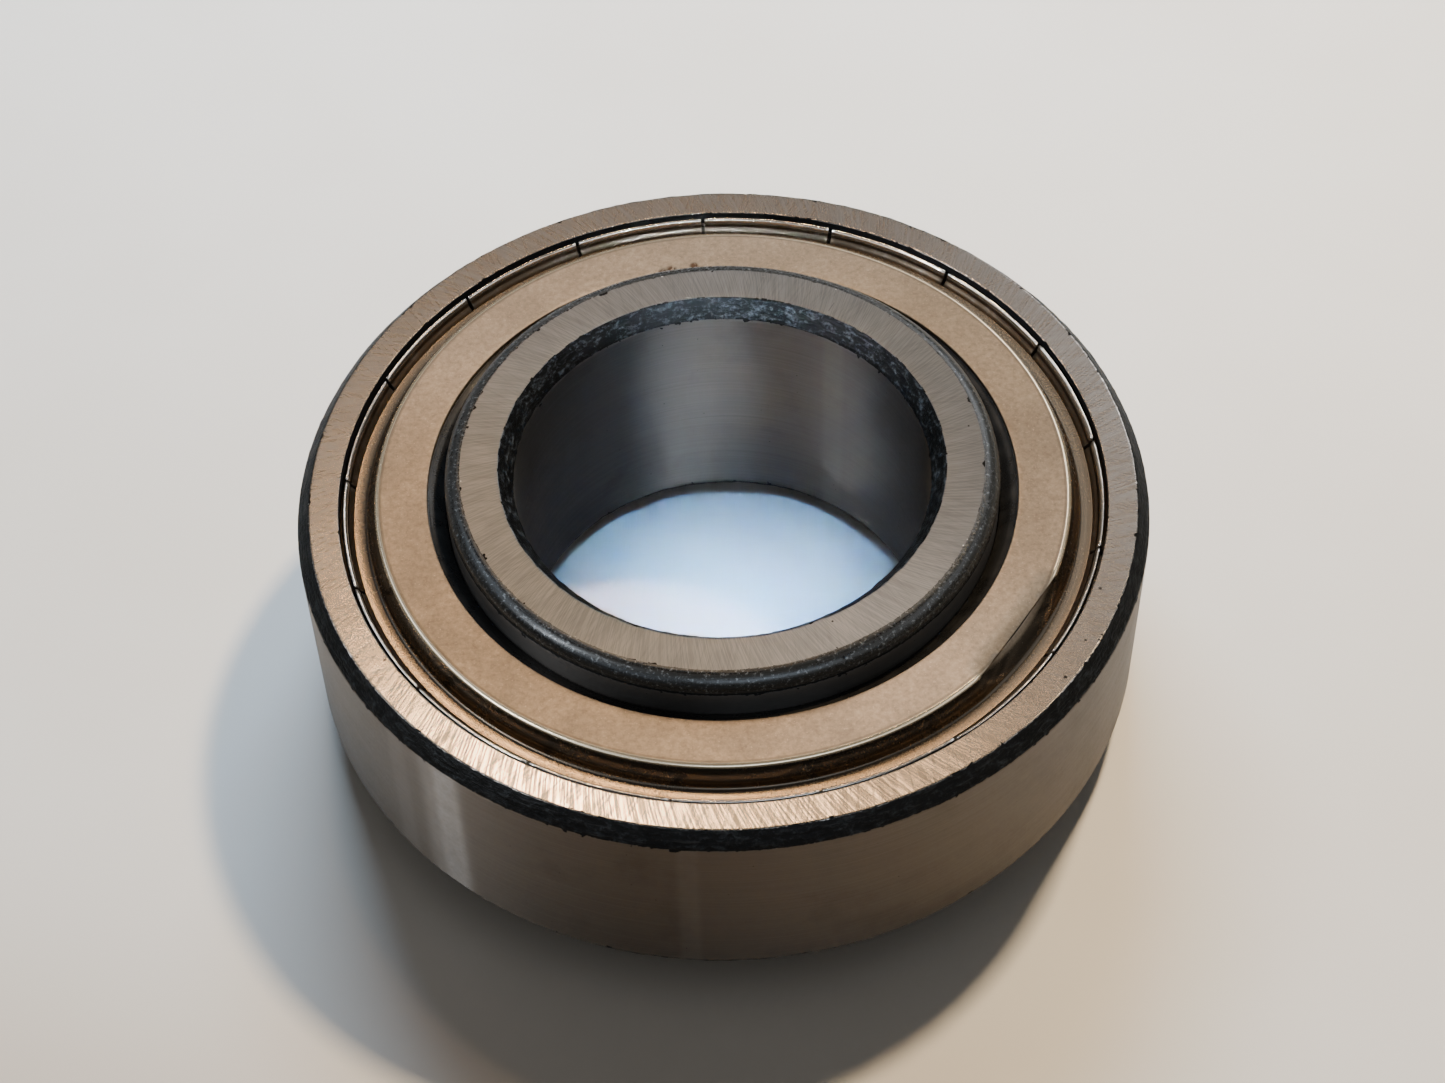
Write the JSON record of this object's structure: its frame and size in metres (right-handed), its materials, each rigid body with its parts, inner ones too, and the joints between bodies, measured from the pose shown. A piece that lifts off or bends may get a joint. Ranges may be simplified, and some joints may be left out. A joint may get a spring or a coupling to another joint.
{
  "type": "sealed ball bearing with wide inner ring",
  "caption": "Sealed single-row ball bearing: slit steel shields crimped into the outer ring, and an inner ring standing proud on both sides.",
  "frame": {"origin": "centre of the bearing: on its axis, at mid-width", "axes": "+Z along the bearing's axis; +X through the centre of the first ball"},
  "size_m": [0.08, 0.08, 0.028],
  "materials": {
    "outer_ring_steel": "ground, with dark scaled chamfers",
    "inner_ring_steel": "ground face and bore, dark turned corners",
    "ball_steel": "polished",
    "cage_steel": "pressed",
    "rivet_steel": "plain",
    "shield_steel": "satin, warm grey",
    "seal_rubber": "oiled",
    "washer_steel": "plain"
  },
  "bodies": {
    "outer_ring": {"outer_ring": "outer_ring_steel", "upper_shield": "shield_steel", "upper_seal_lip": "seal_rubber", "upper_seal_washer": "washer_steel", "lower_shield": "shield_steel", "lower_seal_lip": "seal_rubber", "lower_seal_washer": "washer_steel"},
    "inner_ring": {"inner_ring": "inner_ring_steel"},
    "cage": {"cage_upper_half": "cage_steel", "cage_lower_half": "cage_steel", "cage_rivets": "rivet_steel"},
    "ball_1": {"ball_1": "ball_steel"},
    "ball_2": {"ball_2": "ball_steel"},
    "ball_3": {"ball_3": "ball_steel"},
    "ball_4": {"ball_4": "ball_steel"},
    "ball_5": {"ball_5": "ball_steel"},
    "ball_6": {"ball_6": "ball_steel"},
    "ball_7": {"ball_7": "ball_steel"},
    "ball_8": {"ball_8": "ball_steel"},
    "ball_9": {"ball_9": "ball_steel"}
  },
  "joints": [
    {"name": "inner_ring_spin", "type": "hinge", "parent": "outer_ring", "child": "inner_ring", "pos_m": [0, 0, 0], "axis": [0, 0, 1], "continuous": true},
    {"name": "cage_orbit", "type": "hinge", "parent": "outer_ring", "child": "cage", "pos_m": [0, 0, 0], "axis": [0, 0, 1], "continuous": true},
    {"name": "ball_1_spin", "type": "hinge", "parent": "cage", "child": "ball_1", "pos_m": [0.03, 0, 0], "axis": [0, 0, 1], "continuous": true},
    {"name": "ball_2_spin", "type": "hinge", "parent": "cage", "child": "ball_2", "pos_m": [0.02298, 0.01928, 0], "axis": [0, 0, 1], "continuous": true},
    {"name": "ball_3_spin", "type": "hinge", "parent": "cage", "child": "ball_3", "pos_m": [0.00521, 0.02954, 0], "axis": [0, 0, 1], "continuous": true},
    {"name": "ball_4_spin", "type": "hinge", "parent": "cage", "child": "ball_4", "pos_m": [-0.015, 0.02598, 0], "axis": [0, 0, 1], "continuous": true},
    {"name": "ball_5_spin", "type": "hinge", "parent": "cage", "child": "ball_5", "pos_m": [-0.02819, 0.01026, 0], "axis": [0, 0, 1], "continuous": true},
    {"name": "ball_6_spin", "type": "hinge", "parent": "cage", "child": "ball_6", "pos_m": [-0.02819, -0.01026, 0], "axis": [0, 0, 1], "continuous": true},
    {"name": "ball_7_spin", "type": "hinge", "parent": "cage", "child": "ball_7", "pos_m": [-0.015, -0.02598, 0], "axis": [0, 0, 1], "continuous": true},
    {"name": "ball_8_spin", "type": "hinge", "parent": "cage", "child": "ball_8", "pos_m": [0.00521, -0.02954, 0], "axis": [0, 0, 1], "continuous": true},
    {"name": "ball_9_spin", "type": "hinge", "parent": "cage", "child": "ball_9", "pos_m": [0.02298, -0.01928, 0], "axis": [0, 0, 1], "continuous": true}
  ],
  "couplings": [
    {"joint": "cage_orbit", "follows": "inner_ring_spin", "ratio": 0.39417},
    {"joint": "ball_1_spin", "follows": "inner_ring_spin", "ratio": -2.2564},
    {"joint": "ball_2_spin", "follows": "inner_ring_spin", "ratio": -2.2564},
    {"joint": "ball_3_spin", "follows": "inner_ring_spin", "ratio": -2.2564},
    {"joint": "ball_4_spin", "follows": "inner_ring_spin", "ratio": -2.2564},
    {"joint": "ball_5_spin", "follows": "inner_ring_spin", "ratio": -2.2564},
    {"joint": "ball_6_spin", "follows": "inner_ring_spin", "ratio": -2.2564},
    {"joint": "ball_7_spin", "follows": "inner_ring_spin", "ratio": -2.2564},
    {"joint": "ball_8_spin", "follows": "inner_ring_spin", "ratio": -2.2564},
    {"joint": "ball_9_spin", "follows": "inner_ring_spin", "ratio": -2.2564}
  ]
}
